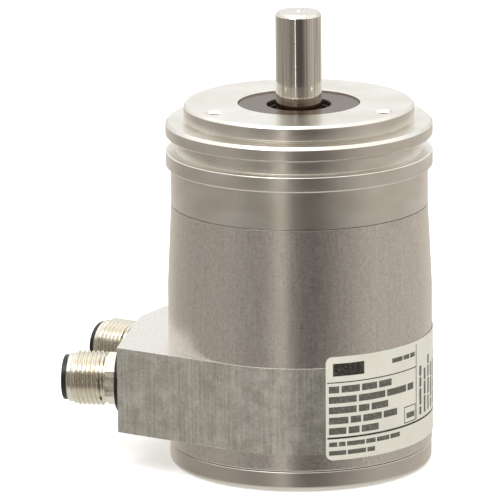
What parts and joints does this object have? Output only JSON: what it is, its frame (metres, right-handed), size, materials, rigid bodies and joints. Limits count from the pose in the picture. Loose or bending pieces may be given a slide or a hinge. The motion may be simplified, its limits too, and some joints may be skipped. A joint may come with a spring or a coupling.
{
  "type": "rotary encoder",
  "caption": "Round metal rotary encoder with a solid shaft, a clamping flange, two threaded side connectors on a block, bearings, code disc, counter gears and boards inside.",
  "frame": {"origin": "centre of the end cap's flat rear face, on the shaft's axis", "axes": "+Z along the shaft, from the rear face to the shaft's end; the connector block stands out towards -X, a little towards +Y"},
  "size_m": [0.0816, 0.0661, 0.0997],
  "materials": {
    "turned_aluminium": "turned, bare",
    "profile_aluminium": "extruded and turned, bare",
    "cap_aluminium": "turned, bare",
    "nitrile_rubber": "satin",
    "spring_steel": "oiled",
    "dark_plastic": "moulded",
    "black_cover": "glossy",
    "bearing_steel": "ground",
    "cage_plastic": "moulded",
    "ground_steel": "ground",
    "turned_brass": "turned",
    "disc_glass": "polished",
    "gear_plastic": "moulded",
    "magnet": "sintered and nickel plated",
    "circuit_board": "lacquered",
    "nickel_brass": "nickel plated",
    "black_plastic": "moulded",
    "gold_contact": "gold plated",
    "lead_jacket": "extruded",
    "label_film": "printed, satin"
  },
  "bodies": {
    "case": {"flange": "turned_aluminium", "housing": "profile_aluminium", "end_cap": "cap_aluminium", "flange_o_ring": "nitrile_rubber", "cap_o_ring": "nitrile_rubber", "tie_screw_1": "spring_steel", "board_post_1": "dark_plastic", "tie_screw_2": "spring_steel", "board_post_2": "dark_plastic", "tie_screw_3": "spring_steel", "board_post_3": "dark_plastic", "seal_cover": "black_cover", "shaft_seal": "nitrile_rubber", "front_bearing_outer_ring": "bearing_steel", "rear_bearing_outer_ring": "bearing_steel", "bore_circlip": "spring_steel", "wave_washer": "spring_steel", "gear_axle_1": "bearing_steel", "gear_axle_2": "bearing_steel", "gear_axle_3": "bearing_steel", "gear_plate": "dark_plastic", "light_source": "dark_plastic", "reticle": "disc_glass", "sensor_board": "circuit_board", "counter_board": "circuit_board", "main_board": "circuit_board", "front_connector_shell": "nickel_brass", "front_connector_insert": "black_plastic", "front_connector_gasket": "nitrile_rubber", "front_connector_pin_1": "gold_contact", "front_connector_pin_2": "gold_contact", "front_connector_pin_3": "gold_contact", "front_connector_pin_4": "gold_contact", "front_connector_pin_5": "gold_contact", "rear_connector_shell": "nickel_brass", "rear_connector_insert": "black_plastic", "rear_connector_gasket": "nitrile_rubber", "rear_connector_pin_1": "gold_contact", "rear_connector_pin_2": "gold_contact", "rear_connector_pin_3": "gold_contact", "rear_connector_pin_4": "gold_contact", "rear_connector_pin_5": "gold_contact", "front_connector_lead": "lead_jacket", "rear_connector_lead": "lead_jacket", "label": "label_film"},
    "shaft_assembly": {"shaft": "ground_steel", "front_bearing_inner_ring": "bearing_steel", "rear_bearing_inner_ring": "bearing_steel", "shaft_circlip": "spring_steel", "disc_hub": "turned_brass", "code_disc": "disc_glass", "drive_gear": "gear_plastic"},
    "front_cage": {"front_bearing_cage": "cage_plastic"},
    "rear_cage": {"rear_bearing_cage": "cage_plastic"},
    "counter_1": {"counter_gear_1": "gear_plastic", "counter_magnet_1": "magnet"},
    "counter_2": {"counter_gear_2": "gear_plastic", "counter_magnet_2": "magnet"},
    "counter_3": {"counter_gear_3": "gear_plastic", "counter_magnet_3": "magnet"}
  },
  "joints": [
    {"name": "shaft_turn", "type": "hinge", "parent": "case", "child": "shaft_assembly", "pos_m": [0, 0, 0.0797], "axis": [0, 0, 1], "continuous": true},
    {"name": "front_cage_turn", "type": "hinge", "parent": "case", "child": "front_cage", "pos_m": [0, 0, 0.0701], "axis": [0, 0, 1], "continuous": true},
    {"name": "rear_cage_turn", "type": "hinge", "parent": "case", "child": "rear_cage", "pos_m": [0, 0, 0.0561], "axis": [0, 0, 1], "continuous": true},
    {"name": "counter_1_turn", "type": "hinge", "parent": "case", "child": "counter_1", "pos_m": [0, 0.0093, 0.0378], "axis": [0, 0, 1], "continuous": true},
    {"name": "counter_2_turn", "type": "hinge", "parent": "case", "child": "counter_2", "pos_m": [-0.00831, -0.0048, 0.0378], "axis": [0, 0, 1], "continuous": true},
    {"name": "counter_3_turn", "type": "hinge", "parent": "case", "child": "counter_3", "pos_m": [0.00883, -0.0051, 0.0378], "axis": [0, 0, 1], "continuous": true}
  ],
  "couplings": [
    {"joint": "front_cage_turn", "follows": "shaft_turn", "ratio": 0.37222},
    {"joint": "rear_cage_turn", "follows": "shaft_turn", "ratio": 0.37222},
    {"joint": "counter_1_turn", "follows": "shaft_turn", "ratio": -0.9375},
    {"joint": "counter_2_turn", "follows": "shaft_turn", "ratio": -0.88235},
    {"joint": "counter_3_turn", "follows": "shaft_turn", "ratio": -0.78947}
  ]
}
